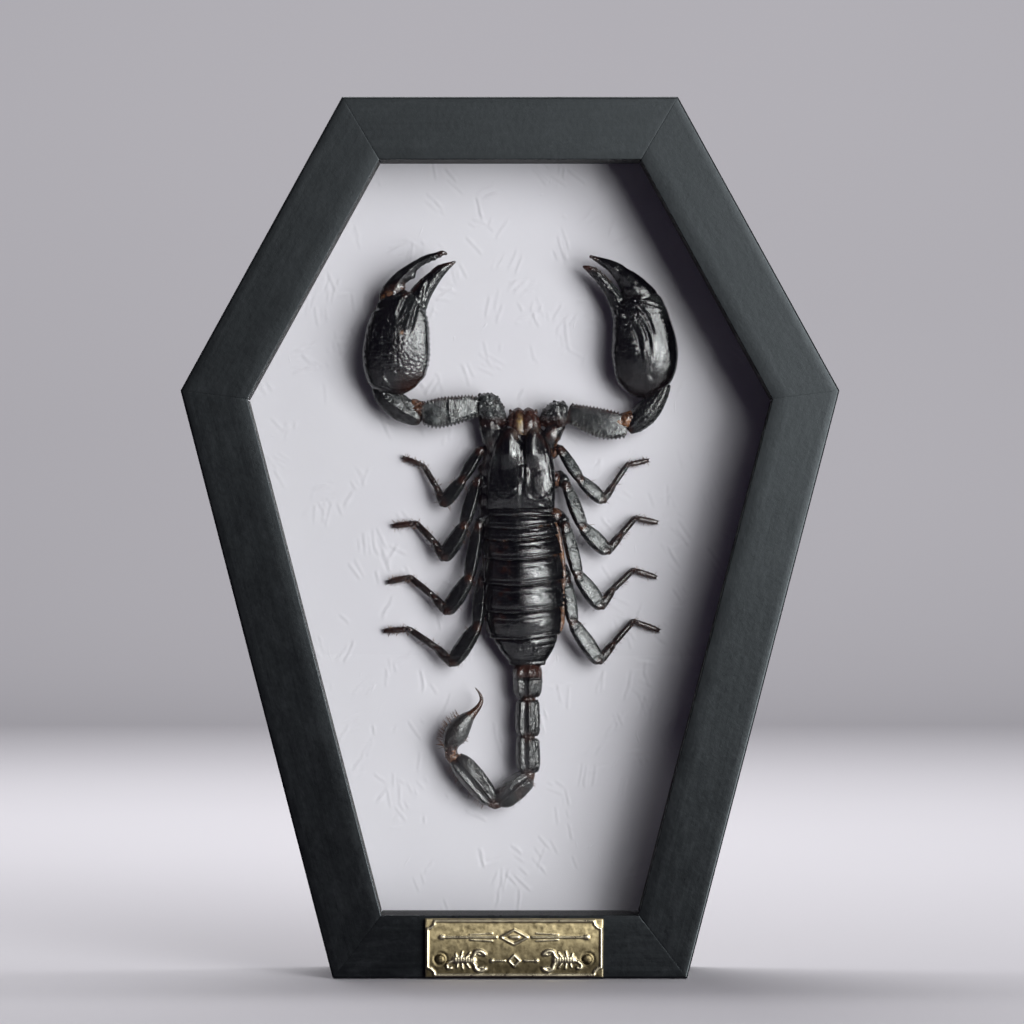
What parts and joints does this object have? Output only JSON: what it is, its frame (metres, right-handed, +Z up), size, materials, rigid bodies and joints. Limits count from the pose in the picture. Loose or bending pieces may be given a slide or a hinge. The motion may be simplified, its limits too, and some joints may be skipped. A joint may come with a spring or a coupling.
{
  "type": "scorpion in coffin shadow box",
  "caption": "Dried black scorpion mounted belly down in a small glazed coffin-shaped shadow box that stands on its bottom rail or hangs on the wall.",
  "frame": {"origin": "on the table, under the middle of the box", "axes": "+Z up the box, +X to the right seen from the front, +Y from the glass to the back"},
  "size_m": [0.1568, 0.0368, 0.21],
  "materials": {
    "black_wood": "thin satin black paint over fine straight grain, edges lightly eased",
    "glass": "clear, clean and flat",
    "black_card": "matt black card",
    "backing_paper": "pale lavender-white embossed with fine crossing creases like leather",
    "backing_board": "plain brown fibreboard",
    "antique_brass": "dark in the recesses, rubbed bright on the raised border and ornaments",
    "steel": "plain bright steel",
    "black_shell": "glossy black shell with grey-green highlights, granules and keels; brown skin shows between its plates and the tips of feet and fingers are dark red-brown",
    "red_brown_shell": "glossy dark red-brown shell"
  },
  "bodies": {
    "root": {"rail_bottom": "black_wood", "spacer_bottom": "black_card", "back_tab_bottom": "steel", "rail_lower_right": "black_wood", "spacer_lower_right": "black_card", "back_tab_lower_right": "steel", "rail_upper_right": "black_wood", "spacer_upper_right": "black_card", "back_tab_upper_right": "steel", "rail_top": "black_wood", "spacer_top": "black_card", "back_tab_top": "steel", "rail_upper_left": "black_wood", "spacer_upper_left": "black_card", "back_tab_upper_left": "steel", "rail_lower_left": "black_wood", "spacer_lower_left": "black_card", "back_tab_lower_left": "steel", "glass_pane": "glass", "backing_paper": "backing_paper", "backing_board": "backing_board", "nameplate": "antique_brass", "nameplate_rivet_1": "antique_brass", "nameplate_rivet_2": "antique_brass", "sawtooth_hanger": "steel", "hanger_nail_1": "steel", "hanger_nail_2": "steel", "carapace": "black_shell", "abdomen": "black_shell", "left_jaw": "red_brown_shell", "right_jaw": "red_brown_shell", "stinger": "black_shell", "tail_segment_1": "black_shell", "tail_segment_2": "black_shell", "tail_segment_3": "black_shell", "tail_segment_4": "black_shell", "tail_segment_5": "black_shell", "left_leg_1": "black_shell", "left_leg_2": "black_shell", "left_leg_3": "black_shell", "left_leg_4": "black_shell", "left_pincer_trochanter": "black_shell", "left_pincer_femur": "black_shell", "left_pincer_patella": "black_shell", "left_pincer_hand": "black_shell", "left_pincer_movable_finger": "black_shell", "right_leg_1": "black_shell", "right_leg_2": "black_shell", "right_leg_3": "black_shell", "right_leg_4": "black_shell", "right_pincer_trochanter": "black_shell", "right_pincer_femur": "black_shell", "right_pincer_patella": "black_shell", "right_pincer_hand": "black_shell", "right_pincer_movable_finger": "black_shell"}
  },
  "joints": []
}
